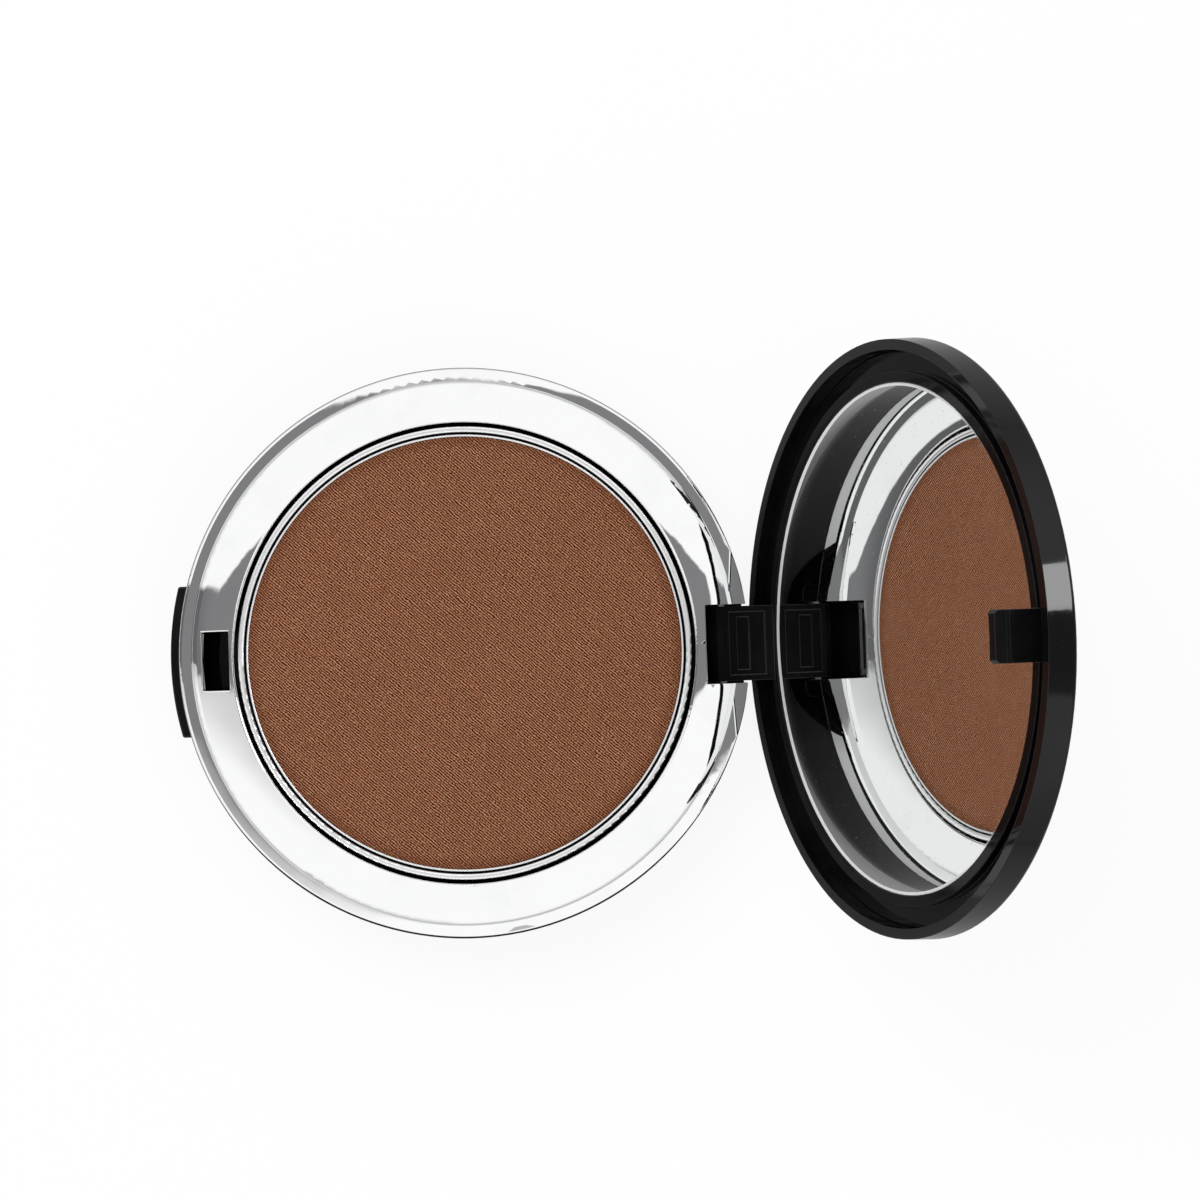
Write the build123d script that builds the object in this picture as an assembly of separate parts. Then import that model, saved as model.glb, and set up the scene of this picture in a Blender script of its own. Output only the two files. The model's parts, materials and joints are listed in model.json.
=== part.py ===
from build123d import *
from math import cos, radians, sin, sqrt
import os

# Round powder compact with a hinged mirror lid. Millimetres.
# The origin is the middle of the underside, +Z is up out of the powder, +Y points to the hinge and
# the hinge pin lies along X. The lid and what it holds are modelled shut, then turned open.

# ---- driving sizes: base ----
base_radius = 38.45         # black shell; deck, pan, lid, hinge, hook and button keep their place to it
collar_step = 0.05          # the chrome collar stands back from the shell
foot_round = 5.0            # round between underside and wall
shell_wall = 1.3
shell_floor = 1.2
parting_height = 12.8       # plane in which the lid's rim lies
collar_height = 2.7         # chrome collar, from the parting plane down to the seam
rim_clearance = 0.2         # air between rim and ledge
ledge_drop = 0.05           # the ledge falls this far to its outer edge
ledge_crown = 40.0          # radius of the ledge's arc, in section
ledge_round = 0.5
deck_rise = 1.2             # inner edge of the deck above the parting plane
deck_drop = 0.84            # from there to the shoulder
ledge_width = 1.72          # from the collar in to the deck
shoulder_width = 0.75       # the deck's outer round
deck_crown = 22.0           # radius of the deck's arc, in section
shoulder_crown = 1.35       # radius of the shoulder's arc, in section
deck_thickness = 1.2
deck_opening_gap = 0.47     # from the cup's bead out to the deck
deck_inner_round = 0.35
slot_edge_round = 0.2       # where a slot meets the deck's top
hem_width = 0.6             # stiffening hem round the deck opening
hem_depth = 1.0
skirt_wall = 1.1            # skirt of the collar, plugged into the shell
skirt_depth = 1.8
fit_clearance = 0.1         # between parts that plug into each other
overcut = 1.0               # how far a cut runs past what it cuts

# ---- driving sizes: pan and powder ----
powder_border = 9.45        # from the shell's wall in to the powder
powder_rise = 0.5           # powder face above the parting plane
powder_bevel = 0.15
powder_clearance = 0.03
pan_wall = 0.3
pan_floor = 0.3
pan_depth = 3.7
pan_lip_rise = 0.15         # pan rim above the powder face
glue_thickness = 0.1
glue_inset = 2.0
cup_clearance = 0.25        # between pan and cup
cup_wall = 0.85
cup_floor = 0.9
bead_rise = 0.35            # beaded rim of the cup above the powder face
bead_round = 0.3

# ---- driving sizes: lid ----
lid_inset = 0.45            # the lid's rim stands back from the shell
lid_flare = 0.25            # side wall is this much wider at its top edge
lid_edge_height = 3.9       # parting plane to the edge between side and dome
lid_edge_round = 0.6
lid_dome_rise = 1.9
lid_top_wall = 1.2
lid_rim_width = 1.36
lid_shoulder_depth = 3.15   # rim plane to the shoulder on which the mirror frame seats
lid_shoulder_width = 1.1
frame_clearance = 0.07      # between mirror frame and lid wall
moat_depth = 2.3
moat_width = 2.59           # from the lid's rim in to the lip
lip_width = 1.45
lip_depth = 1.2
lip_round = 0.12
mirror_clearance = 0.06
mirror_depth = 1.5
mirror_thickness = 1.0
mirror_pad_thickness = 0.15
mirror_pad_inset = 1.0

# ---- driving sizes: hinge ----
hinge_inset = 3.51          # pin axis inside the shell's wall
hinge_drop = 5.89           # pin axis below the parting plane
open_angle = 111.34
pin_radius = 0.8
pin_end_gap = 0.1           # the pin ends short of the bracket's sides
pin_clearance = 0.03
knuckle_radius = 2.1
arm_width = 10.2
arm_inner_offset = 2.1      # arm faces, measured from the pin axis
arm_outer_offset = 0.5
arm_recess_margin = 0.8     # at each side of the arm
arm_recess_depth = 0.3
arm_recess_start = 0.3      # along the arm, from the pin axis
arm_recess_length = 5.5
arm_panel_margin = 0.7      # at each side of the recess
arm_panel_start = 1.6
arm_panel_length = 1.9
arm_panel_depth = 0.25      # below the recess
arm_side_gap = 0.25         # arm to the sides of its slot
arm_front_gap = 0.44        # arm to the front of its slot
ear_thickness = 2.35        # bracket at each side of the slot
bracket_reach = 3.64        # pin axis to the bracket's front
bracket_clearance = 0.05
tab_rise = 0.45             # underside of the bracket's outer tabs above the pin axis
stop_gap = 0.1              # arm to sill when the lid is open
knuckle_gap = 0.3           # knuckle to the bracket's web
notch_round = 0.8

# ---- driving sizes: hook, catch and button ----
hook_width = 6.3
hook_inset = 0.35           # the hook stands outside the lip's inner edge
hook_thickness = 1.25
hook_reach = 4.85           # parting plane down to the hook's tip
barb_reach = 0.7
barb_height = 1.65
barb_shelf = 0.5            # upright part of the barb under its shelf
hook_corner_chamfer = 0.42
hook_side_gap = 0.75        # hook to the sides of its slot
hook_inner_gap = 1.35       # hook to the inner side of its slot
hook_outer_gap = 0.2        # barb to the outer side of its slot
catch_side_gap = 0.2        # the catch is this much narrower at each side
catch_thickness = 0.6
catch_gap = 0.15            # barb shelf to catch
button_half_width = 10.2
button_proud = 1.3
button_end_round = 0.35
button_drop = 1.0           # from the seam down to the button
button_height = 4.1
button_edge_round = 0.25
button_travel = 0.7
window_clearance = 0.15
skirt_side_gap = 0.3        # button flange to the sides of its gap in the skirt
flange_thickness = 1.0
flange_side_margin = 1.1
flange_low_margin = 0.7
flange_high_margin = 0.45
ram_width = 6.4
ram_height = 2.4
ram_gap = 0.15              # ram to barb with the button pressed
spring_place = 7.5          # each side of the middle
spring_radius = 1.1         # wire centre
spring_wire = 0.35
spring_turns = 4.5
spring_end_gap = 0.02
seat_radius = 1.6
seat_reach = 1.35           # from the button's flange to the face that the spring meets
spring_room = 3.2           # from that face to the shell's post
post_depth = 1.1
post_width = 3.2
spigot_radius = 0.75
spigot_length = 0.9
spigot_root = 0.45          # inside what carries the spigot

# ---- levels and radii that follow ----
seam_height = parting_height - collar_height
ledge_height = parting_height - rim_clearance
deck_top = parting_height + deck_rise
deck_shoulder = deck_top - deck_drop
collar_radius = base_radius - collar_step
deck_radius = collar_radius - ledge_width
deck_shoulder_radius = deck_radius - shoulder_width
cavity_radius = base_radius - shell_wall
skirt_outer = cavity_radius - fit_clearance
skirt_inner = skirt_outer - skirt_wall

powder_radius = base_radius - powder_border
powder_top = parting_height + powder_rise
pan_inner = powder_radius + powder_clearance
pan_outer = pan_inner + pan_wall
pan_top = powder_top + pan_lip_rise
pan_bottom = pan_top - pan_depth
cup_inner = pan_outer + cup_clearance
cup_outer = cup_inner + cup_wall
cup_seat = pan_bottom - glue_thickness
deck_opening_radius = cup_outer + deck_opening_gap

lid_rim_radius = base_radius - lid_inset
lid_shoulder = parting_height + lid_shoulder_depth
lid_top = parting_height + lid_edge_height + lid_dome_rise
lid_inner = lid_rim_radius - lid_rim_width
frame_radius = lid_inner - frame_clearance
lip_outer_radius = lid_inner - moat_width
lip_inner_radius = lip_outer_radius - lip_width
moat_floor = parting_height + moat_depth
mirror_face = parting_height + mirror_depth
mirror_back = mirror_face + mirror_thickness
pocket_floor = mirror_back + mirror_pad_thickness
mirror_radius = lip_inner_radius - mirror_clearance

hinge_back = base_radius - hinge_inset
hinge_height = parting_height - hinge_drop
hole_radius = pin_radius + pin_clearance
web_top = hinge_height - knuckle_radius - knuckle_gap
tab_low = hinge_height + tab_rise
arm_recess_width = arm_width - 2 * arm_recess_margin
arm_panel_width = arm_recess_width - 2 * arm_panel_margin
hinge_slot_width = arm_width + 2 * arm_side_gap
hinge_slot_start = hinge_back - arm_inner_offset - arm_front_gap
bracket_width = hinge_slot_width + 2 * ear_thickness
bracket_front = hinge_back - bracket_reach
pin_length = bracket_width - 2 * pin_end_gap

hook_inner_radius = lip_inner_radius + hook_inset
hook_outer_radius = hook_inner_radius + hook_thickness
barb_tip = hook_outer_radius + barb_reach
hook_low = parting_height - hook_reach
barb_top = hook_low + barb_height
hook_slot_width = hook_width + 2 * hook_side_gap
hook_slot_inner = hook_inner_radius - hook_inner_gap
hook_slot_outer = barb_tip + hook_outer_gap
catch_width = hook_slot_width - 2 * catch_side_gap
button_high = seam_height - button_drop
button_low = button_high - button_height
button_middle = button_low + button_height / 2
flange_radius = cavity_radius - fit_clearance
flange_inner = flange_radius - flange_thickness
flange_half_width = button_half_width + flange_side_margin
ram_face = barb_tip + button_travel + ram_gap
seat_back = flange_inner - seat_reach
post_face = seat_back - spring_room


# ---- helpers ----
def turned(*points):
    """Solid turned about Z from a closed outline of (radius, height) points."""
    return revolve(Plane.XZ * make_face(Polyline(*points, close=True)), Axis.Z)


def turned_outline(lines):
    """Solid turned about Z from a closed outline of lines and arcs."""
    edges = [edge for line in lines for edge in line.edges()]
    return revolve(Plane.XZ * make_face(edges), Axis.Z)


def ring_edges(shape, *places):
    """The full circles of a turned shape at the given (radius, height) places."""
    circles = shape.edges().filter_by(GeomType.CIRCLE)
    return [edge for edge in circles for radius, height in places
            if abs(edge.radius - radius) < 1e-3 and abs(edge.arc_center.Z - height) < 1e-3]


def block(low, high):
    """Box between two corners."""
    size = [b - a for a, b in zip(low, high)]
    middle = [(a + b) / 2 for a, b in zip(low, high)]
    return Pos(*middle) * Box(*size)


def arc_bar(inner, outer, width, low, high, side):
    """Stretch of a round wall, centred on X = 0, at +Y (side 1) or -Y (side -1)."""
    strip = Pos(0, side * outer) * Rectangle(width, 2 * outer)
    plan = (Circle(outer) - Circle(inner)) & strip
    return extrude(Pos(0, 0, low) * plan, high - low)


def rod_x(radius, length):
    """Cylinder along the hinge axis, centred."""
    return Pos(0, hinge_back, hinge_height) * Rot(Y=90) * Cylinder(radius, length)


def opened(shape):
    """A lid piece, modelled shut, turned open about the hinge pin."""
    about_pin = Pos(0, hinge_back, hinge_height) * Rot(X=-open_angle)
    return about_pin * Pos(0, -hinge_back, -hinge_height) * shape


def dome(radius, edge_height, top_height):
    """Outline arc from the edge of a shallow dome to its middle."""
    rise = top_height - edge_height
    sphere = (radius**2 + rise**2) / (2 * rise)
    middle_height = top_height - sphere + sqrt(sphere**2 - (radius / 2) ** 2)
    return ThreePointArc((radius, edge_height), (radius / 2, middle_height), (0, top_height))


def crowned(start, end, radius):
    """Outline arc of a given radius from start out to end, bulging upwards."""
    across, fall = end[0] - start[0], end[1] - start[1]
    chord = sqrt(across**2 + fall**2)
    bulge = radius - sqrt(radius**2 - chord**2 / 4)
    middle = ((start[0] + end[0]) / 2 - fall / chord * bulge,
              (start[1] + end[1]) / 2 + across / chord * bulge)
    return ThreePointArc(start, middle, end)


# ---- base ----
def make_base_shell():
    """Black bottom shell with the button window, the hinge notch and the two spring posts."""
    inner_round = foot_round - shell_floor
    shell = turned((0, 0), (base_radius, 0), (base_radius, seam_height), (cavity_radius, seam_height),
                   (cavity_radius, shell_floor), (0, shell_floor))
    shell = fillet(ring_edges(shell, (base_radius, 0)), foot_round)
    shell = fillet(ring_edges(shell, (cavity_radius, shell_floor)), inner_round)
    window_half = button_half_width + window_clearance
    shell -= block((-window_half, -base_radius - overcut, button_low - window_clearance),
                   (window_half, -cavity_radius / 2, button_high + window_clearance))
    for side in (-1, 1):
        post = block((side * spring_place - post_width / 2, -post_face, shell_floor / 2),
                     (side * spring_place + post_width / 2, post_depth - post_face,
                      button_middle + post_width / 2))
        shell += post + spring_spigot(side, spigot_root - post_face, -1)
    return shell - hinge_notch()


def spring_spigot(side, start, direction):
    """Short pin that enters a button spring, along Y from a start inside its carrier."""
    length = spigot_root + spigot_length
    middle = start + direction * length / 2
    return Pos(side * spring_place, middle, button_middle) * Rot(X=90) * Cylinder(spigot_radius, length)


def hinge_notch():
    """T-shaped notch at the rear of the shell; its sill is the stop of the open lid."""
    turn = radians(open_angle)
    along = (base_radius - hinge_back + arm_outer_offset * -cos(turn)) / sin(turn)
    sill = hinge_height - arm_outer_offset * sin(turn) + along * cos(turn) - stop_gap
    wide = bracket_width / 2 + bracket_clearance
    narrow = hinge_slot_width / 2 + fit_clearance
    slot = block((-narrow, bracket_front, sill), (narrow, base_radius + overcut, seam_height + overcut))
    slot = fillet(slot.faces().sort_by(Axis.Z)[0].edges().filter_by(Axis.Y), notch_round)
    top = block((-wide, bracket_front, tab_low - bracket_clearance),
                (wide, base_radius + overcut, seam_height + overcut))
    top = fillet(top.faces().sort_by(Axis.Z)[0].edges().filter_by(Axis.Y), notch_round)
    return slot + top


def make_deck_ring():
    """Chrome-plated deck, ledge and collar in one moulding, with the catch of the hook."""
    inner_top = (deck_opening_radius, deck_top)
    shoulder = (deck_shoulder_radius, deck_shoulder)
    foot = (deck_radius, ledge_height)
    ledge_end = (collar_radius, ledge_height - ledge_drop)
    hem_outer = deck_opening_radius + hem_width
    hem_top = deck_top - deck_thickness
    hem_low = hem_top - hem_depth
    skirt_low = seam_height - skirt_depth
    under = Polyline(ledge_end, (collar_radius, seam_height), (skirt_outer, seam_height),
                     (skirt_outer, skirt_low), (skirt_inner, skirt_low),
                     (skirt_inner, deck_shoulder - deck_thickness), (hem_outer, hem_top),
                     (hem_outer, hem_low), (deck_opening_radius, hem_low), inner_top)
    outline = [crowned(inner_top, shoulder, deck_crown), crowned(shoulder, foot, shoulder_crown),
               crowned(foot, ledge_end, ledge_crown), under]
    ring = turned_outline(outline)
    ring = fillet(ring_edges(ring, inner_top), deck_inner_round)
    ring = fillet(ring_edges(ring, ledge_end), ledge_round)
    ring -= skirt_gaps(skirt_low)
    ring -= rear_relief()
    ring -= block((-hook_slot_width / 2, -hook_slot_outer, hem_low - overcut),
                  (hook_slot_width / 2, -hook_slot_inner, deck_top + overcut))
    ring = fillet(slot_edges(ring, hook_slot_width, -hook_slot_outer, -hook_slot_inner),
                  slot_edge_round)
    ring -= block((-hinge_slot_width / 2, hinge_slot_start, skirt_low - overcut),
                  (hinge_slot_width / 2, base_radius + overcut, deck_top + overcut))
    ring = fillet(slot_edges(ring, hinge_slot_width, hinge_slot_start, hinge_slot_start),
                  slot_edge_round)
    return ring + arc_bar(hook_slot_outer, hook_slot_outer + catch_thickness, catch_width,
                          barb_top + catch_gap, deck_shoulder - deck_thickness / 2, -1)


def slot_edges(ring, width, start, end):
    """The edges in which a slot of a width, between two places along Y, meets the deck's top."""
    side, low, high = width / 2 + slot_edge_round, start - slot_edge_round, end + slot_edge_round
    return [edge for edge in ring.edges()
            if all(abs(point.X) < side and low < point.Y < high and point.Z > deck_shoulder
                   for point in (edge @ 0, edge @ 1))]


def skirt_gaps(skirt_low):
    """What is cut from the skirt below the seam: room for the button and the hinge bracket."""
    front = flange_half_width + skirt_side_gap
    rear = bracket_width / 2 + fit_clearance
    return (block((-front, -base_radius, skirt_low - overcut), (front, 0, seam_height))
            + block((-rear, 0, skirt_low - overcut), (rear, base_radius, seam_height)))


def rear_relief():
    """Room for the rim as the lid swings: the ledge's rear is a round about the pin axis."""
    area = block((-base_radius, hinge_back, seam_height), (base_radius, base_radius + overcut, deck_top))
    area -= rod_x(ledge_height - hinge_height, 2 * base_radius)
    return area - Pos(0, 0, seam_height) * Cylinder(deck_radius, 4 * collar_height)


def make_pan_cup():
    """Cup with a bright beaded rim that stands on the shell's floor and carries the pan."""
    bead_top = powder_top + bead_rise
    leg_inner = cup_outer - cup_wall
    cup = turned((0, cup_seat - cup_floor), (leg_inner, cup_seat - cup_floor),
                 (leg_inner, shell_floor), (cup_outer, shell_floor), (cup_outer, bead_top),
                 (cup_inner, bead_top), (cup_inner, cup_seat), (0, cup_seat))
    return fillet(ring_edges(cup, (cup_inner, bead_top), (cup_outer, bead_top)), bead_round)


def make_powder_pan():
    """Thin pressed aluminium pan."""
    return turned((0, pan_bottom), (pan_outer, pan_bottom), (pan_outer, pan_top),
                  (pan_inner, pan_top), (pan_inner, pan_bottom + pan_floor),
                  (0, pan_bottom + pan_floor))


def make_pressed_powder():
    """Powder cake, level with a little bevel at its edge."""
    low = pan_bottom + pan_floor
    cake = turned((0, low), (powder_radius, low), (powder_radius, powder_top), (0, powder_top))
    return chamfer(ring_edges(cake, (powder_radius, powder_top)), powder_bevel)


def make_pan_adhesive():
    """Disc of adhesive between pan and cup."""
    radius = pan_outer - glue_inset
    return turned((0, cup_seat), (radius, cup_seat), (radius, pan_bottom), (0, pan_bottom))


def make_hinge_bracket():
    """Black block behind the notch: a web on the floor, two ears for the pin and two outer tabs."""
    half = bracket_width / 2
    inner_round = foot_round - shell_floor + fit_clearance
    room = turned((0, shell_floor), (flange_radius, shell_floor), (flange_radius, seam_height),
                  (0, seam_height))
    room = fillet(ring_edges(room, (flange_radius, shell_floor)), inner_round)
    top = seam_height - bracket_clearance
    bracket = block((-half, bracket_front, shell_floor), (half, base_radius, top)) & room
    outer = Pos(0, 0, tab_low) * Cylinder(base_radius - bracket_clearance, top - tab_low,
                                          align=(Align.CENTER, Align.CENTER, Align.MIN))
    tabs = block((-half, bracket_front, tab_low), (half, base_radius, top))
    tabs = fillet(tabs.faces().sort_by(Axis.Z)[0].edges().filter_by(Axis.Y), notch_round)
    bracket += tabs & outer
    bracket -= block((-hinge_slot_width / 2, bracket_front - overcut, web_top),
                     (hinge_slot_width / 2, base_radius + overcut, seam_height + overcut))
    return bracket - rod_x(hole_radius, bracket_width + 2 * overcut)


def make_hinge_pin():
    """Steel pin through ears and knuckle."""
    return rod_x(pin_radius, pin_length)


# ---- button ----
def make_push_button():
    """Curved button with a flange behind the window, a ram for the hook and two spring seats."""
    strip = Pos(0, -base_radius) * Rectangle(2 * button_half_width, base_radius)
    plan = (Circle(base_radius + button_proud) & strip) - Circle(flange_radius - flange_thickness / 2)
    cap = extrude(Pos(0, 0, button_low) * plan, button_height)
    cap = fillet(cap.edges().filter_by(Axis.Z).sort_by(Axis.Y)[:2], button_end_round)
    face = cap.faces().filter_by(GeomType.CYLINDER).sort_by(Axis.Y)[0]
    cap = fillet(face.edges().filter_by(GeomType.CIRCLE), button_edge_round)
    low, high = button_low - flange_low_margin, button_high + flange_high_margin
    button = cap + arc_bar(flange_inner, flange_radius, 2 * flange_half_width, low, high, -1)
    button += block((-ram_width / 2, -flange_radius + flange_thickness / 2, high - ram_height),
                    (ram_width / 2, -ram_face, high))
    for side in (-1, 1):
        front = sqrt(flange_inner**2 - spring_place**2) + flange_thickness / 2
        length = front - seat_back
        seat = Pos(side * spring_place, -(front + seat_back) / 2, button_middle)
        button += seat * Rot(X=90) * Cylinder(seat_radius, length)
        button += spring_spigot(side, -seat_back - spigot_root, 1)
    return button


def make_button_spring(side):
    """Compression spring between the button's seat and the shell's post."""
    room = seat_back - post_face - spring_wire - 2 * spring_end_gap
    start = (side * spring_place, -seat_back + spring_wire / 2 + spring_end_gap, button_middle)
    path = Helix(room / spring_turns, room, spring_radius, center=start, direction=(0, 1, 0))
    section = Plane(origin=path @ 0, z_dir=path % 0) * Circle(spring_wire / 2)
    return sweep(section, path, is_frenet=True)


# ---- lid, modelled shut ----
def make_lid_shell():
    """Black lid: rim, side wall and shallow dome, with the shoulder that seats the mirror frame."""
    outer_radius = lid_rim_radius + lid_flare
    outer_edge = parting_height + lid_edge_height
    dome_inner = lid_inner - lid_shoulder_width
    sides = Polyline((0, lid_top - lid_top_wall), (0, lid_top))
    outside = Polyline((outer_radius, outer_edge), (lid_rim_radius, parting_height),
                       (lid_inner, parting_height), (lid_inner, lid_shoulder),
                       (dome_inner, lid_shoulder))
    lid = turned_outline([sides, dome(outer_radius, outer_edge, lid_top), outside,
                          dome(dome_inner, lid_shoulder, lid_top - lid_top_wall)])
    return fillet(ring_edges(lid, (outer_radius, outer_edge)), lid_edge_round)


def make_mirror_frame():
    """Black inner moulding of the lid: moat, lip, mirror pocket, hinge arm and hook."""
    frame = turned((0, lid_shoulder), (frame_radius, lid_shoulder), (frame_radius, moat_floor),
                   (lip_outer_radius, moat_floor), (lip_outer_radius, parting_height + lip_depth),
                   (lip_inner_radius, parting_height + lip_depth), (lip_inner_radius, pocket_floor),
                   (0, pocket_floor))
    frame = fillet(ring_edges(frame, (lip_outer_radius, parting_height + lip_depth),
                              (lip_inner_radius, parting_height + lip_depth)), lip_round)
    return frame + hinge_arm() + hook()


def hinge_arm():
    """Arm and knuckle, with the shallow recess and the panel on the arm's inner face."""
    root = (moat_floor + lid_shoulder) / 2
    inner, outer = hinge_back - arm_inner_offset, hinge_back + arm_outer_offset
    arm = block((-arm_width / 2, inner, hinge_height), (arm_width / 2, outer, root))
    arm += rod_x(knuckle_radius, arm_width)
    recess_face = inner + arm_recess_depth
    recess_low = hinge_height + arm_recess_start
    arm -= block((-arm_recess_width / 2, inner - overcut, recess_low),
                 (arm_recess_width / 2, recess_face, recess_low + arm_recess_length))
    panel_low = hinge_height + arm_panel_start
    arm -= block((-arm_panel_width / 2, inner - overcut, panel_low),
                 (arm_panel_width / 2, recess_face + arm_panel_depth, panel_low + arm_panel_length))
    return arm - rod_x(hole_radius, arm_width + 2 * overcut)


def hook():
    """Hook that hangs from the front of the lip, its barb facing outwards."""
    root = (moat_floor + lid_shoulder) / 2
    stem = arc_bar(hook_inner_radius, hook_outer_radius, hook_width, hook_low, root, -1)
    half = hook_width / 2
    ramp_top = barb_top - barb_shelf
    wedge = Plane.YZ * make_face(Polyline(
        (-hook_inner_radius - hook_thickness / 2, hook_low), (-hook_outer_radius, hook_low),
        (-barb_tip, ramp_top), (-barb_tip, barb_top),
        (-hook_inner_radius - hook_thickness / 2, barb_top), close=True))
    solid = stem + extrude(wedge, half, both=True)
    cut = hook_corner_chamfer
    for side in (-1, 1):
        corner = Plane.XZ * make_face(Polyline((side * (half - cut), hook_low - overcut),
                                               (side * (half + overcut), hook_low - overcut),
                                               (side * (half + overcut), hook_low + cut + overcut),
                                               (side * half, hook_low + cut),
                                               (side * (half - cut), hook_low), close=True))
        solid -= extrude(corner, 2 * barb_tip)
    return solid


def make_mirror_glass():
    """Round mirror in the pocket of the frame."""
    return turned((0, mirror_face), (mirror_radius, mirror_face), (mirror_radius, mirror_back),
                  (0, mirror_back))


def make_mirror_pad():
    """Thin adhesive pad behind the mirror."""
    radius = mirror_radius - mirror_pad_inset
    return turned((0, mirror_back), (radius, mirror_back), (radius, pocket_floor), (0, pocket_floor))


pieces = {
    "base_shell": make_base_shell(),
    "deck_ring": make_deck_ring(),
    "pan_cup": make_pan_cup(),
    "powder_pan": make_powder_pan(),
    "pressed_powder": make_pressed_powder(),
    "pan_adhesive": make_pan_adhesive(),
    "hinge_bracket": make_hinge_bracket(),
    "hinge_pin": make_hinge_pin(),
    "push_button": make_push_button(),
    "button_spring_left": make_button_spring(-1),
    "button_spring_right": make_button_spring(1),
    "lid_shell": opened(make_lid_shell()),
    "mirror_frame": opened(make_mirror_frame()),
    "mirror_glass": opened(make_mirror_glass()),
    "mirror_pad": opened(make_mirror_pad()),
}

os.makedirs("parts", exist_ok=True)
for name, piece in pieces.items():
    export_step(piece, f"parts/{name}.step")
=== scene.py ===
import json
import bmesh
import bpy
import numpy as np
from mathutils import Matrix, Vector


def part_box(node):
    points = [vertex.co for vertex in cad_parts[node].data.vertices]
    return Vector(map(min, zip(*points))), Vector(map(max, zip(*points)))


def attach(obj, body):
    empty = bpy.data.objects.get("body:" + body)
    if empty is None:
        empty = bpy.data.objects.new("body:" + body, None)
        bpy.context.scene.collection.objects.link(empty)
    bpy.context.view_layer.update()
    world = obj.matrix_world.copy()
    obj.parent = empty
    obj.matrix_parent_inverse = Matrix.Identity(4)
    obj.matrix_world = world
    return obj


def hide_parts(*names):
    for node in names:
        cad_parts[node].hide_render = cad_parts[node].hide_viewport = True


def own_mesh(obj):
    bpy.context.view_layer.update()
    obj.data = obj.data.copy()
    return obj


# A round powder compact, standing open, in metres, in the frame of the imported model: the origin is
# the middle of its underside, +Z is up out of the powder and +Y points to the hinge.
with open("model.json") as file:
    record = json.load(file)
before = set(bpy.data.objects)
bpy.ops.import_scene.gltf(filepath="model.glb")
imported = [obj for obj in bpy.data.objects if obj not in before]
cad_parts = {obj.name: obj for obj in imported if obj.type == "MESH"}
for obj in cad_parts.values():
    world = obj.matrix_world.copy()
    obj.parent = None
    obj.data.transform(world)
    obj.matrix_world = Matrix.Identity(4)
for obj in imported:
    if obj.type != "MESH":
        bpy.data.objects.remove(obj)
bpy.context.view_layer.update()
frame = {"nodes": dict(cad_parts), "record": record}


# ---- bottom shell ----
# The bowl that everything stands in, injection moulded in gloss black ABS. Its polished tool
# leaves a faint orange peel; handling adds hairline scratches and a thin haze.
MM = 0.001
nodes = frame["nodes"]


class Wire:
    """A socket in a finish's node tree; sums, products and powers of wires add Math nodes."""

    def __init__(self, tree, socket=None):
        self.tree, self.socket = tree, socket

    def add(self, kind, settings=None, inputs=None, out=0):
        """Any node: its type, then its settings, then the values or wires of its sockets."""
        node = self.tree.nodes.new(kind)
        for name, value in (settings or {}).items():
            setattr(node, name, value)
        for name, value in (inputs or {}).items():
            if isinstance(value, Wire):
                self.tree.links.new(value.socket, node.inputs[name])
            else:
                node.inputs[name].default_value = value
        return Wire(self.tree, node.outputs[out] if node.outputs else None)

    def other(self, out):
        """Another output of the node that this wire leaves."""
        return Wire(self.tree, self.socket.node.outputs[out])

    def math(self, operation, a, b=0.0):
        """A Math node on one or two numbers or wires."""
        return self.add("ShaderNodeMath", {"operation": operation}, {0: a, 1: b})

    def distance(self, a, b):
        """How far one place or direction is from another."""
        return self.add("ShaderNodeVectorMath", {"operation": "DISTANCE"}, {0: a, 1: b}, out=1)

    def __add__(self, other): return self.math("ADD", self, other)
    def __radd__(self, other): return self.math("ADD", other, self)
    def __sub__(self, other): return self.math("SUBTRACT", self, other)
    def __rsub__(self, other): return self.math("SUBTRACT", other, self)
    def __mul__(self, other): return self.math("MULTIPLY", self, other)
    def __rmul__(self, other): return self.math("MULTIPLY", other, self)
    def __truediv__(self, other): return self.math("DIVIDE", self, other)
    def __rtruediv__(self, other): return self.math("DIVIDE", other, self)
    def __pow__(self, other): return self.math("POWER", self, other)
    def __rpow__(self, other): return self.math("POWER", other, self)

    def between(self, low, high):
        """0 below low, 1 above high and a smooth step from one to the other."""
        return self.add("ShaderNodeMapRange", {"interpolation_type": "SMOOTHSTEP"},
                        {0: self, 1: low, 2: high})

    def tint(self, dark, light):
        """Colour from dark to light as this wire goes from 0 to 1."""
        return self.add("ShaderNodeMix", {"data_type": "RGBA"},
                        {0: self, 6: (*dark, 1) if isinstance(dark, tuple) else dark,
                         7: (*light, 1) if isinstance(light, tuple) else light}, out=2)

    def place(self, turn=(0, 0, 0), scale=(1, 1, 1)):
        """Object coordinates, turned and scaled."""
        coordinates = self.add("ShaderNodeTexCoord", out=3)
        return self.add("ShaderNodeMapping", {}, {0: coordinates, 2: turn, 3: scale})

    def noise(self, size, detail=2.0, roughness=0.5, at=None):
        """Soft noise about 0.5 whose blotches are about size metres wide."""
        return self.add("ShaderNodeTexNoise", {}, {
            "Vector": at or self.place(), "Scale": 1 / size, "Detail": detail,
            "Roughness": roughness})

    def bump(self, depth, below=None):
        """Normal of a surface that this wire, from 0 to 1, raises by depth metres."""
        inputs = {"Height": self, "Distance": depth, "Strength": 1.0}
        if below:
            inputs["Normal"] = below
        return self.add("ShaderNodeBump", {}, inputs)


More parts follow.
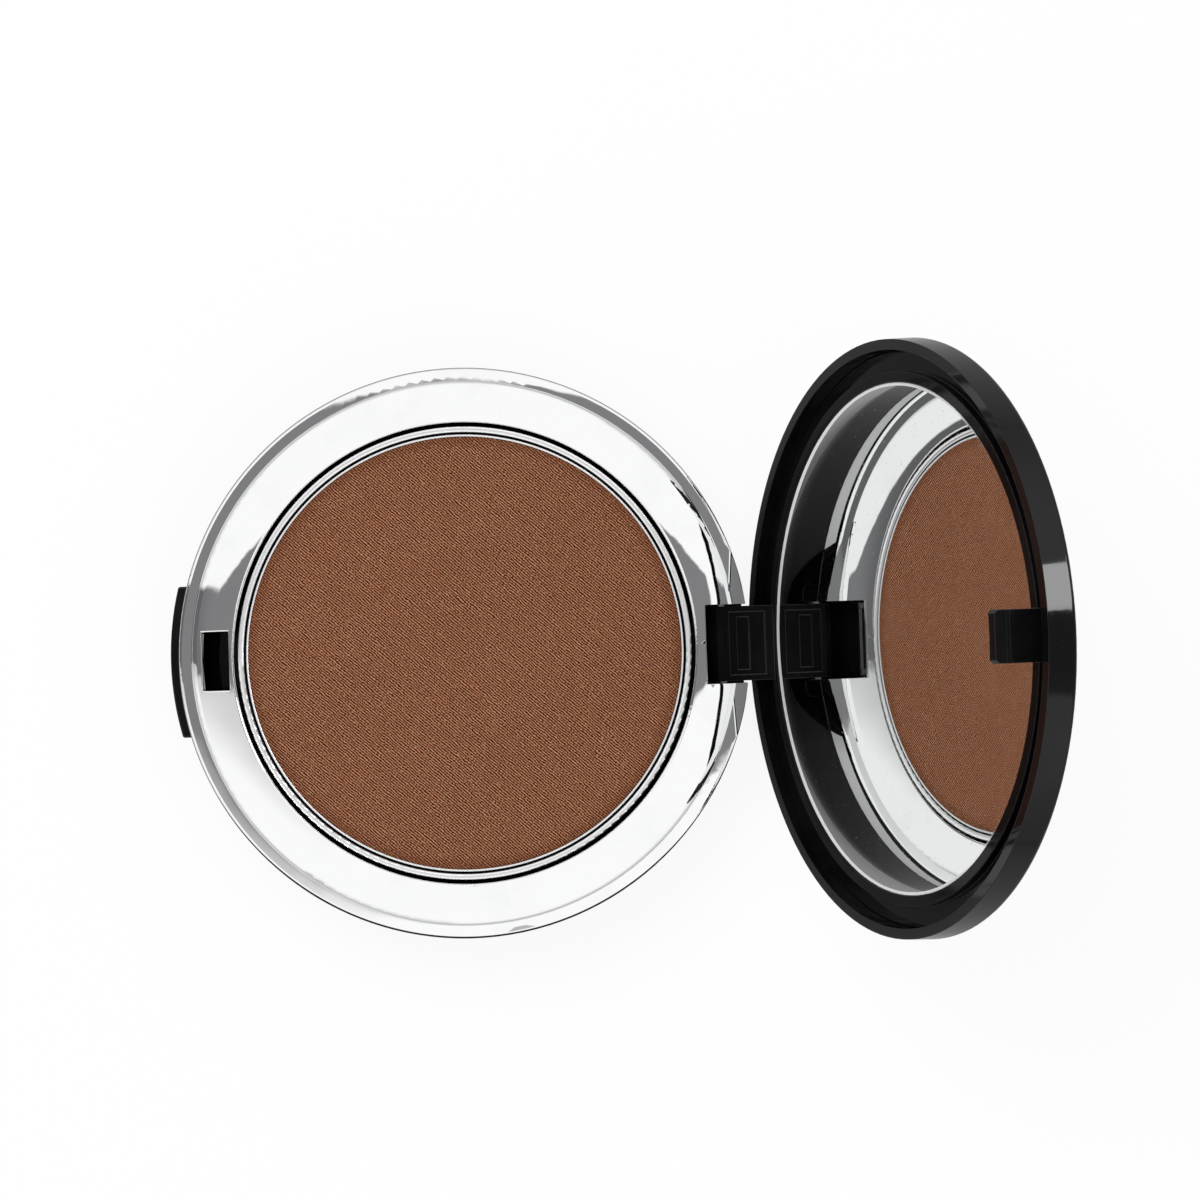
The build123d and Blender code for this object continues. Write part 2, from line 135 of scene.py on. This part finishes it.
def finish(name):
    """A new material and the wire that starts its node tree."""
    material = bpy.data.materials.new(name)
    material.use_nodes = True
    material.node_tree.nodes.clear()
    return material, Wire(material.node_tree)


def surface(start, **sockets):
    """Principled surface of a finish; sockets are given by name with _ for a space."""
    shader = start.add("ShaderNodeBsdfPrincipled", {},
                       {name.replace("_", " "): value for name, value in sockets.items()})
    start.add("ShaderNodeOutputMaterial", {}, {"Surface": shader})


def dress(node, material):
    """Puts a finish on a CAD node in place of its plain one."""
    nodes[node].data.materials.clear()
    nodes[node].data.materials.append(material)


def gloss_black(name, roughness, haze, edge_round=0.12 * MM, ior=1.36, edge_highlight_and_wear=0.012, dome=None):
    """
    Polished black moulding: orange peel, hairlines and haze. The edges look rounded by edge_round,
    and along them a band is painted paler as a painted highlight and made duller as worn. A dome is
    given by its sphere's middle and its top; round the top its face is the sphere's, straight out
    from the middle.
    """
    material, start = finish(name)
    peel = start.noise(2.6 * MM, 1.0)
    hair = start.noise(0.05 * MM, 1.0, at=start.place((0.3, 0.2, 0.5), (1, 0.02, 1)))
    hair_across = start.noise(0.05 * MM, 1.0, at=start.place((0.1, 0.4, 1.9), (1, 0.02, 1)))
    scratch = hair.between(0.70, 0.80) + hair_across.between(0.72, 0.82)
    patch = start.noise(9 * MM, 3.0).between(0.42, 0.72)
    dust = start.noise(0.22 * MM, 0.0).between(0.78, 0.82)
    edge = start.add("ShaderNodeBevel", {"samples": 8}, {"Radius": edge_round})
    flat = start.add("ShaderNodeNewGeometry", out=1)
    # Painted highlight: a band along each edge, where the rounded normal leaves the flat one, is
    # painted paler; it is also rougher, as worn.
    highlit_and_worn_edge = start.distance(edge, flat).between(0.10, 0.60)
    if dome:
        middle, top = dome
        out_of = start.add("ShaderNodeVectorMath", {"operation": "SUBTRACT"},
                           {0: start.place(), 1: tuple(middle)})
        out_of = start.add("ShaderNodeVectorTransform", {
            "vector_type": "NORMAL", "convert_from": "OBJECT", "convert_to": "WORLD"}, {0: out_of})
        from_middle, from_top = (start.distance(start.place(), tuple(spot)) for spot in dome)
        radius = (top - middle).length
        crown = ((1 - from_top.between(5.6 * MM, 6.6 * MM))
                 * from_middle.between(radius - 0.5 * MM, radius - 0.3 * MM))
        highlit_and_worn_edge = highlit_and_worn_edge * (1 - crown)
        edge = start.add("ShaderNodeMix", {"data_type": "VECTOR"}, {0: crown, 4: edge, 5: out_of},
                         out=1)
    face = (patch * 0.25 + dust * 0.75).tint((0.0035, 0.0035, 0.004), (0.014, 0.014, 0.015))
    surface(start,
            Base_Color=highlit_and_worn_edge.tint(face, (edge_highlight_and_wear, edge_highlight_and_wear, edge_highlight_and_wear)),
            Roughness=roughness + haze * patch + 0.10 * scratch + 0.15 * highlit_and_worn_edge,
            IOR=ior,
            Normal=peel.bump(0.0016 * MM, edge))
    return material


shell_black = gloss_black("black_gloss_abs", roughness=0.05, haze=0.05)
dress("base_shell", shell_black)


# ---- hinge bracket and pin ----
# A black block inside the rear wall with an ear at each side of the lid's arm; a drawn steel pin
# goes through ears and knuckle. The block is a plainer moulding, less polished than the shell.
bracket_black = gloss_black("black_bracket_abs", roughness=0.14, haze=0.10,
                            edge_round=0.18 * MM, edge_highlight_and_wear=0.045)
dress("hinge_bracket", bracket_black)


def drawn_steel(name, shade, along):
    """Bright drawn wire: fine lines along one axis (0, 1 or 2) and slightly uneven polish."""
    material, start = finish(name)
    stretch = [1.0, 1.0, 1.0]
    stretch[along] = 0.04
    lines = start.noise(0.06 * MM, 2.0, at=start.place(scale=tuple(stretch)))
    patch = start.noise(1.5 * MM, 2.0)
    surface(start, Metallic=1.0,
            Base_Color=patch.tint(tuple(0.82 * c for c in shade), shade),
            Roughness=0.18 + 0.16 * lines + 0.08 * patch,
            Normal=lines.bump(0.001 * MM))
    return material


pin_steel = drawn_steel("pin_drawn_steel", shade=(0.60, 0.60, 0.62), along=0)
dress("hinge_pin", pin_steel)


# ---- push button and its springs ----
# A crescent of the shell's black ABS that slides in through the front wall; its thumb face is a
# little duller from handling. Two springs coiled from hard steel wire push it out; their end turns
# are closed.
button_black = gloss_black("black_button_abs", roughness=0.09, haze=0.09)
dress("push_button", button_black)
spring_wire = drawn_steel("spring_hard_wire", shade=(0.55, 0.55, 0.57), along=1)


def solid(name, points, faces):
    """Object of a mesh with smooth faces, its doubled points merged, its poles and seams closed."""
    mesh = bpy.data.meshes.new(name)
    mesh.from_pydata(points.tolist(), [], faces.tolist())
    shape = bmesh.new()
    shape.from_mesh(mesh)
    bmesh.ops.remove_doubles(shape, verts=shape.verts, dist=1e-7)
    bmesh.ops.dissolve_degenerate(shape, edges=shape.edges, dist=1e-8)
    bmesh.ops.recalc_face_normals(shape, faces=shape.faces)
    shape.to_mesh(mesh)
    shape.free()
    mesh.shade_smooth()
    item = bpy.data.objects.new(name, mesh)
    bpy.context.scene.collection.objects.link(item)
    return item


def coil(name, node, wire=0.35 * MM, closed=1.0, active=3.5, steps=265, around=12):
    """
    Spring along Y in its node's place. After a turns the wire's centre is at radius * (cos, sin) of
    a * 2 pi across the axis. It climbs by one wire in each closed end turn and evenly between them.
    A ring of the wire's radius stands square to the path at each step and closes at both ends.
    """
    low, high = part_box(node)
    middle, radius, length = (low + high) / 2, (high.x - low.x - wire) / 2, high.y - low.y - wire
    turns = np.linspace(0, closed * 2 + active, steps)
    climb = np.interp(turns, [0, closed, closed + active, closed * 2 + active],
                      [0, wire, length - wire, length])
    outward = np.stack([np.cos(2 * np.pi * turns), 0 * turns, np.sin(2 * np.pi * turns)], -1)
    centre = (np.array([middle.x, low.y + wire / 2, middle.z]) + radius * outward
              + climb[:, None] * np.array([0.0, 1.0, 0.0]))
    path = np.gradient(centre, axis=0)
    across = np.cross(path / np.linalg.norm(path, axis=1, keepdims=True), outward)
    angle = np.linspace(0, 2 * np.pi, around, endpoint=False)[None, :, None]
    rings = centre[:, None] + wire / 2 * (outward[:, None] * np.cos(angle)
                                          + across[:, None] * np.sin(angle))
    ends = np.repeat(centre[[0, -1], None], around, axis=1)
    points = np.concatenate([ends[:1], rings, ends[1:]]).reshape(-1, 3)
    step, along = np.meshgrid(np.arange(steps + 1), np.arange(around), indexing="ij")
    here, beside = step * around + along, step * around + (along + 1) % around
    faces = np.stack([here, beside, beside + around, here + around], -1).reshape(-1, 4)
    return solid(name, points, faces)


joints = frame["record"]["behaviour"]["joints"]
press = [joint for joint in joints if joint["name"] == "button_press"]
for end in ("left", "right"):
    spring = coil("spring_coil_" + end, "button_spring_" + end)
    spring.data.materials.append(spring_wire)
    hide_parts("button_spring_" + end)
    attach(spring, "base")
    low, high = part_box("button_spring_" + end)
    1 - press[0]["range_m"][1] / (high.y - low.y)
    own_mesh(spring)


# ---- deck ring ----
# The bright ring round the pan: an ABS moulding, chrome plated, that plugs into the shell. The
# plate follows the tool's polish, with a very slight ripple and a film of fingerprints.
deck_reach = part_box("deck_ring")[1].x
ledge_low = 11.9 * MM


def round_place(start):
    """A surface's own place: its X, Y and Z, and its reach from the Z axis."""
    across = start.add("ShaderNodeSeparateXYZ", {}, {0: start.place()})
    along, height = across.other(1), across.other(2)
    return across, along, height, (across * across + along * along) ** 0.5


def chrome(name, roughness, ripple):
    """
    Nickel-chrome plate: slow ripple, wiping marks and thin smears. The outer edge of its ledge is
    painted dark as a painted reflection of the shaded table beside it, 0.1 mm wide, and 0.3 mm at
    +X.
    """
    material, start = finish(name)
    slow = start.noise(5.5 * MM, 1.0)
    fine = start.noise(0.7 * MM, 2.0)
    wipe = start.noise(0.07 * MM, 1.0, at=start.place((0, 0, 0.7), (1, 0.03, 1)))
    smear = start.noise(7 * MM, 4.0, 0.6).between(0.48, 0.70)
    across, _, height, reach = round_place(start)
    # Painted reflection of the shaded table: a dark line round the ledge's outer edge, wider at +X.
    plus_x_side = across.between(0.40 * deck_reach, 0.85 * deck_reach)
    painted_dark_edge = ((reach + plus_x_side * 0.21 * MM).between(deck_reach - 0.11 * MM, deck_reach - 0.08 * MM)
            * height.between(ledge_low, ledge_low + 0.05 * MM))
    surface(start, Metallic=1.0,
            Base_Color=painted_dark_edge.tint(smear.tint((0.95, 0.953, 0.957), (0.92, 0.924, 0.93)),
                                 (0.02, 0.02, 0.02)),
            Roughness=roughness + 0.025 * smear + 0.03 * wipe.between(0.66, 0.78),
            Normal=fine.bump(0.0004 * MM, slow.bump(ripple)))
    return material


deck_chrome = chrome("deck_chrome_plate", roughness=0.014, ripple=0.018 * MM)
dress("deck_ring", deck_chrome)


# ---- pan cup ----
# The round seat of the pan; only its turned-over bead is plated, and shows as a bright line
# between the powder and the deck. The rest is painted black as painted shade, for the dark gap on
# each side of the bead.
bead, start = finish("cup_painted_shade_and_plated_bead")
_, _, height, reach = round_place(start)
cup_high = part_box("pan_cup")[1]
plated = (reach.between(cup_high.x - 0.81 * MM, cup_high.x - 0.75 * MM)
          * height.between(cup_high.z - 0.24 * MM, cup_high.z - 0.18 * MM))
worn = start.noise(0.5 * MM, 3.0)
# Painted shade: black everywhere but the plated bead, so the gaps beside it read dark.
surface(start, Metallic=plated,
        Base_Color=plated.tint((0.006, 0.006, 0.006), (0.97, 0.97, 0.975)),
        Roughness=0.42 - 0.16 * plated + 0.12 * worn,
        Normal=worn.bump(0.001 * MM))
dress("pan_cup", bead)


# ---- adhesive ----
# Thin discs of dried contact glue hold the pan in the cup and the mirror in the lid.
glue, start = finish("dried_contact_glue")
lumps = start.noise(1.4 * MM, 3.0)
bubbles = start.add("ShaderNodeTexVoronoi", {}, {"Vector": start.place(), "Scale": 1 / (0.9 * MM)})
surface(start, Base_Color=lumps.tint((0.40, 0.37, 0.29), (0.58, 0.56, 0.49)),
        Roughness=0.42 + 0.3 * bubbles.between(0.0, 0.4), Normal=lumps.bump(0.05 * MM))
for pad in ("pan_adhesive", "mirror_pad"):
    dress(pad, glue)


# ---- pan ----
# A shallow dish drawn from 0.3 mm aluminium; its trimmed rim stands just above the powder and is
# rounded by tumbling. Faint circular lines run round it from the drawing.
pan_low, pan_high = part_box("powder_pan")
pan_radius, pan_sheet = pan_high.x, 0.3 * MM


def turned(name, profile, around=256):
    """
    Solid turned about Z. The point at step i round and k along the closed profile is
    (radius k * cos(turn i), radius k * sin(turn i), height k); where the profile meets the axis
    its ring closes to one point.
    """
    radius, height = np.array(profile, float).T
    turn = np.linspace(0, 2 * np.pi, around, endpoint=False)
    points = np.stack([np.outer(np.cos(turn), radius), np.outer(np.sin(turn), radius),
                       np.tile(height, (around, 1))], -1).reshape(-1, 3)
    count = len(radius)
    step, along = np.meshgrid(np.arange(around), np.arange(count - 1), indexing="ij")
    here, after = step * count + along, (step + 1) % around * count + along
    faces = np.stack([here, here + 1, after + 1, after], -1).reshape(-1, 4)
    return solid(name, points, faces)


def corner(radius, height, size, start, end, steps=5):
    """Points of a round corner: centre plus size times (cos, sin) of angles from start to end."""
    angle = np.radians(np.linspace(start, end, steps))
    return [(radius + size * np.cos(a), height + size * np.sin(a)) for a in angle]


rim_round, foot = 0.11 * MM, 0.5 * MM
pan_inner = pan_radius - pan_sheet
pan_profile = ([(0, pan_low.z)]
               + corner(pan_radius - foot, pan_low.z + foot, foot, -90, 0)
               + corner(pan_radius - rim_round, pan_high.z - rim_round, rim_round, 0, 90)
               + corner(pan_inner + rim_round, pan_high.z - rim_round, rim_round, 90, 180)
               + [(pan_inner, pan_low.z + pan_sheet), (0, pan_low.z + pan_sheet)])
pan = turned("pan_tin", pan_profile)
aluminium, start = finish("drawn_aluminium")
height_lines = start.noise(0.04 * MM, 1.0, at=start.place(scale=(0.02, 0.02, 1)))
patch = start.noise(3 * MM, 2.0)
surface(start, Metallic=1.0,
        Base_Color=patch.tint((0.90, 0.90, 0.905), (0.97, 0.97, 0.975)),
        Roughness=0.34 + 0.10 * patch + 0.08 * height_lines, Normal=height_lines.bump(0.001 * MM))
pan.data.materials.append(aluminium)
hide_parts("powder_pan")
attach(pan, "base")


# ---- pressed powder ----
# A cake of warm brown powder, pressed into the pan through a woven cloth that leaves its fine
# mesh in the face. The face sinks a hair towards the edge, which is broken by tiny crumbs.
cake_low, cake_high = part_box("pressed_powder")
cake_radius = cake_high.x


def cake_surface(rings=92, around=512, edge=0.5 * MM):
    """
    Face of the cake on a polar grid: its radius is R * (1 - (1 - t)^1.6) for t from 0 to 1, and
    its height is the top less small waves and the drop at the edge. The drop is 0.11 mm times the
    cube of the share of the edge gone, more or less by sines of the turn that make it ragged.
    """
    t = np.linspace(0, 1, rings)[:, None]
    turn = np.linspace(0, 2 * np.pi, around, endpoint=False)[None, :]
    radius = cake_radius * (1 - (1 - t) ** 1.6) + 0 * turn
    ragged = (0.4 * np.sin(7 * turn + 1.0) + 0.3 * np.sin(23 * turn + 2.2)
              + 0.3 * np.sin(61 * turn + 0.4) + 0.35 * np.sin(149 * turn + 1.7))
    share = np.clip((radius - cake_radius + edge) / edge, 0, 1)
    x, y = radius * np.cos(turn), radius * np.sin(turn)
    wave = (np.sin(x / (6.1 * MM) + 0.7) * np.sin(y / (7.3 * MM) + 0.2)
            + np.sin(x / (2.9 * MM) - y / (4.1 * MM)))
    height = (cake_high.z - 0.006 * MM - 0.003 * MM * wave
              - (0.11 + 0.035 * ragged) * MM * share ** 3)
    return np.stack([x, y, height], -1)


face = cake_surface()
rings, around = face.shape[:2]
side = face[-1:].copy()
side[..., 2] = cake_low.z
below = side * np.array([0.0, 0.0, 1.0])
grid = np.concatenate([face, side, below])
step, ring = np.meshgrid(np.arange(around), np.arange(rings + 1))
here, beside = ring * around + step, ring * around + (step + 1) % around
quads = np.stack([here, here + around, beside + around, beside], -1).reshape(-1, 4)
cake = solid("powder_cake_face", grid.reshape(-1, 3), quads)

powder, start = finish("pressed_brown_powder")
across, along, _, reach = round_place(start)
drift = start.noise(1.1 * MM, 2.0) - 0.5


def thread(x_rate, y_rate, slip):
    """
    One run of the cloth's threads, from -1 to 1: the sine of a phase that grows by its rates in
    turns per mm and wanders by its slip in turns.
    """
    phase = (across * (x_rate / MM) + along * (y_rate / MM) + drift * slip) * (2 * np.pi)
    return start.math("SINE", phase)


patchy = start.noise(2.2 * MM, 2.0).between(0.30, 0.70)
grain = start.noise(0.16 * MM, 1.0, 0.7) - 0.5
weave = (thread(-2.42, 2.13, 1.2) * (0.68 + 0.24 * patchy)
         + thread(-1.26, 1.54, 1.0) * 0.20
         + thread(0.22, 2.55, 1.3) * 0.14
         + thread(2.60, 0.39, 1.3) * 0.14
         + thread(1.25, 1.69, 1.2) * (0.22 - 0.10 * patchy)
         + grain * 2.6 + 0.5)
fleck = start.noise(0.28 * MM, 0.0).between(0.735, 0.77)
glint = start.noise(0.20 * MM, 0.0, at=start.place((0, 0, 0.8))).between(0.745, 0.78)
# Painted shade: the face darkens over its last 1.9 mm towards the pan's edge.
rim_shade = reach.between(cake_radius - 1.9 * MM, cake_radius - 0.2 * MM)
blotch = start.noise(6 * MM, 3.0)
tone = (weave.between(-0.15, 1.25) ** 1.5).tint((0.036, 0.006, 0.001), (0.575, 0.250, 0.139))
tone = (blotch.between(0.35, 0.65) * 0.10).tint(tone, (0.19, 0.060, 0.022))
tone = (rim_shade * 0.40).tint(tone, (0.100, 0.026, 0.008))
tone = (fleck * 0.6).tint(tone, (0.36, 0.24, 0.11))
surface(start, Base_Color=tone,
        Roughness=0.86 - 0.25 * glint, Metallic=0.35 * glint,
        IOR=1.33, Specular_IOR_Level=0.15,
        Normal=weave.bump(0.055 * MM))
cake.data.materials.append(powder)
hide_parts("pressed_powder")
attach(cake, "base")


# ---- lid shell ----
# The shallow dome over everything, the same gloss black ABS as the bottom shell. It stands open,
# so its dome looks away from the hinge, along the closed lid's upward turned by the hinge's range.
hinge = [joint for joint in joints if joint["name"] == "lid_hinge"]
opened = np.radians(hinge[0]["range_deg"][1])
dome_way = Vector((0, np.sin(opened), np.cos(opened)))
dome_radius = 385.9 * MM
dome_top = max((vertex.co for vertex in nodes["lid_shell"].data.vertices), key=dome_way.dot).copy()
lid_black = gloss_black("black_lid_abs", roughness=0.045, haze=0.045,
                        dome=(dome_top - dome_radius * dome_way, dome_top))
dress("lid_shell", lid_black)


# ---- mirror frame ----
# Inner moulding of the lid with the moat, the lip round the mirror, the hinge arm and the hook.
inner_black = gloss_black("black_inner_abs", roughness=0.06, haze=0.05,
                          edge_round=0.18 * MM, ior=1.21, edge_highlight_and_wear=0.045)
dress("mirror_frame", inner_black)


# ---- mirror ----
# Round plate of silvered float glass in the pocket of the frame. The arris round its edge is
# ground, so it scatters light in a thin pale line, wider at the hinge. Towards the hook the line
# is faded out as painted shade of the lip.
silver, start = finish("silvered_glass")
glass_low, glass_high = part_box("mirror_glass")
glass_middle = tuple((glass_low + glass_high) / 2)
glass_radius = (glass_high.x - glass_low.x) / 2
arris, arris_wider = 0.42 * MM, 0.40 * MM
away = start.distance(start.place(), glass_middle)
height = start.add("ShaderNodeSeparateXYZ", {}, {0: start.place()}, out=2)
hinge_side = 1 - height.between(glass_low.z, glass_middle[2])
# Ground arris as a pale line; towards the hook it fades out as painted shade of the lip.
ground_arris_shaded = ((away + hinge_side * arris_wider).between(glass_radius - arris, glass_radius - 0.36 * MM)
          * (1 - height.between(glass_middle[2], glass_high.z - 6 * MM)))
grit = start.noise(0.08 * MM, 1.0)
smear = start.noise(12 * MM, 4.0, 0.6).between(0.50, 0.75)
dust = start.noise(0.25 * MM, 0.0).between(0.80, 0.83)
surface(start, Metallic=1.0 - ground_arris_shaded,
        Base_Color=ground_arris_shaded.tint(dust.tint((0.835, 0.845, 0.84), (0.74, 0.74, 0.74)),
                               grit.tint((0.80, 0.82, 0.81), (0.97, 0.98, 0.98))),
        Roughness=0.012 + 0.02 * smear + 0.2 * dust + 0.4 * ground_arris_shaded)
dress("mirror_glass", silver)


# ---- table, light and camera ----
# A pale table under a white tent. The tent opens above the compact for the lens, in a narrow slot
# that runs down to the front; its walls darken towards the table, most of all behind the hinge.
half_table = 1.6
table_mesh = bpy.data.meshes.new("table")
table_mesh.from_pydata([(x * half_table, y * half_table, 0)
                        for x, y in ((-1, -1), (1, -1), (1, 1), (-1, 1))], [], [(0, 1, 2, 3)])
table = bpy.data.objects.new("table", table_mesh)
bpy.context.scene.collection.objects.link(table)
table_white, start = finish("table_white")
seen = start.add("ShaderNodeLightPath", out="Is Camera Ray")
mirrored = start.math("MAXIMUM", seen.other("Is Glossy Ray"), seen.other("Is Transmission Ray"))
chalk_tone = seen.tint((0.50, 0.50, 0.50), (0.92, 0.92, 0.92))
chalk = start.add("ShaderNodeBsdfDiffuse", {}, {"Color": chalk_tone})
glow = start.add("ShaderNodeEmission", {}, {"Color": (1, 1, 1, 1), "Strength": 1.0})
glowing = seen * 0.89 + mirrored * 0.06
chalk_and_glow = start.add("ShaderNodeMixShader", {}, {0: glowing, 1: chalk, 2: glow})
start.add("ShaderNodeOutputMaterial", {}, {"Surface": chalk_and_glow})
table.data.materials.append(table_white)

world = bpy.data.worlds.new("white_tent")
bpy.context.scene.world = world
world.use_nodes = True
world.node_tree.nodes.clear()
start = Wire(world.node_tree)
toward = start.add("ShaderNodeTexCoord", out=0)
dx = start.add("ShaderNodeSeparateXYZ", {}, {0: toward})
dy, dz = dx.other(1), dx.other(2)

# The tent is laid out by slopes: how far a direction leans to +X, the hinge or the front for each
# metre that it climbs.
up = start.math("MAXIMUM", dz, 0.001)
side, hinge_way = dx / up, dy / up
front_way = 0 - hinge_way

# The slot's left side spreads towards the front. Its right side is sharp over the compact, and to
# the front it softens and keeps a part of the sharp step.
left = start.math("MAXIMUM", front_way * 0.28, 0.13)
soft = front_way.between(-0.10, 0.25)
right_low, right_high = 0.058 - 0.028 * soft, 0.076 + 0.194 * soft
fade = ((side - right_low) / (right_high - right_low)).between(0.0, 1.0)
crisp = (side - right_low).between(0.0, 0.02)
step_share = 0.55 * front_way.between(0.08, 0.22)
slot = ((side / left).between(-1.06, -0.96) * (1 - fade + (fade - crisp) * step_share)
        * (1 - hinge_way.between(0.455, 0.485)) * dz.between(0.0, 0.03))
behind = (hinge_way.between(0.70, 0.80) * dx.between(-0.16, -0.14) * (1 - dx.between(0.31, 0.36))
          * dz.between(0.0, 0.03))

# Gloss sees the walls, the slot and the dark part behind the hinge. A straight look sees white,
# and matt colours get an even fill.
wall = dz.between(-0.05, 0.55).tint((0.50, 0.50, 0.50), (1.0, 1.0, 1.0))
wall = behind.tint(wall, (0.24, 0.24, 0.24))
depth = front_way.between(0.45, 1.0).tint((0.215, 0.215, 0.22), (0.13, 0.13, 0.135))
camera_ray = start.add("ShaderNodeLightPath", out="Is Camera Ray")
glossy_ray = camera_ray.other("Is Glossy Ray")
through_ray = camera_ray.other("Is Transmission Ray")
tent = glossy_ray.tint((1.0, 1.0, 1.0), slot.tint(wall, depth))
shown = start.math("MINIMUM", camera_ray + glossy_ray + through_ray, 1.0)
backdrop = start.add("ShaderNodeBackground", {}, {"Color": tent, "Strength": 1.0})
fill = start.add("ShaderNodeBackground", {}, {"Color": (1, 1, 1, 1), "Strength": 0.72})
sky = start.add("ShaderNodeMixShader", {}, {0: shown, 1: fill, 2: backdrop})
start.add("ShaderNodeOutputWorld", {}, {"Surface": sky})


def softbox(name, place, size, power, only_gloss=False, target=Vector((0, 0.01, 0.02))):
    """Area lamp, size wide and high, turned to the compact; it lights either colours or gloss."""
    lamp = bpy.data.lights.new(name, "AREA")
    lamp.shape, lamp.size, lamp.size_y, lamp.energy = "RECTANGLE", *size, power
    item = bpy.data.objects.new(name, lamp)
    item.location = place
    item.rotation_euler = (target - Vector(place)).to_track_quat("-Z", "Y").to_euler()
    item.visible_glossy, item.visible_diffuse = only_gloss, not only_gloss
    bpy.context.scene.collection.objects.link(item)


softbox("tent_left", (-0.45, -0.35, 0.75), (0.5, 0.5), 3.2)
softbox("tent_right", (0.5, 0.3, 0.7), (0.4, 0.4), 1.1)
softbox("rear_strip", (-0.235, 0.70, 0.60), (0.22, 0.30), 2.4, only_gloss=True)

lens = bpy.data.cameras.new("lens")
lens.sensor_width, lens.lens = 36.0, 89.355
lens.clip_start, lens.clip_end = 0.01, 20.0
camera = bpy.data.objects.new("lens", lens)
eye = Vector((-1.65339928, -1.45341083, 413.3)) * MM
aim = Vector((-6.47713214, 18.2697936, 13.3)) * MM
roll = -0.0339736673
ahead = (aim - eye).normalized()
right = ahead.cross(Vector((-1, 0, 0))).normalized()
upward = right.cross(ahead)
right, upward = (right * np.cos(roll) + upward * np.sin(roll),
                 upward * np.cos(roll) - right * np.sin(roll))
stance = Matrix((right, upward, -ahead)).transposed().to_4x4()
camera.matrix_world = Matrix.Translation(eye) @ stance
bpy.context.scene.collection.objects.link(camera)
bpy.context.scene.camera = camera
bpy.context.scene.view_settings.view_transform = "Standard"
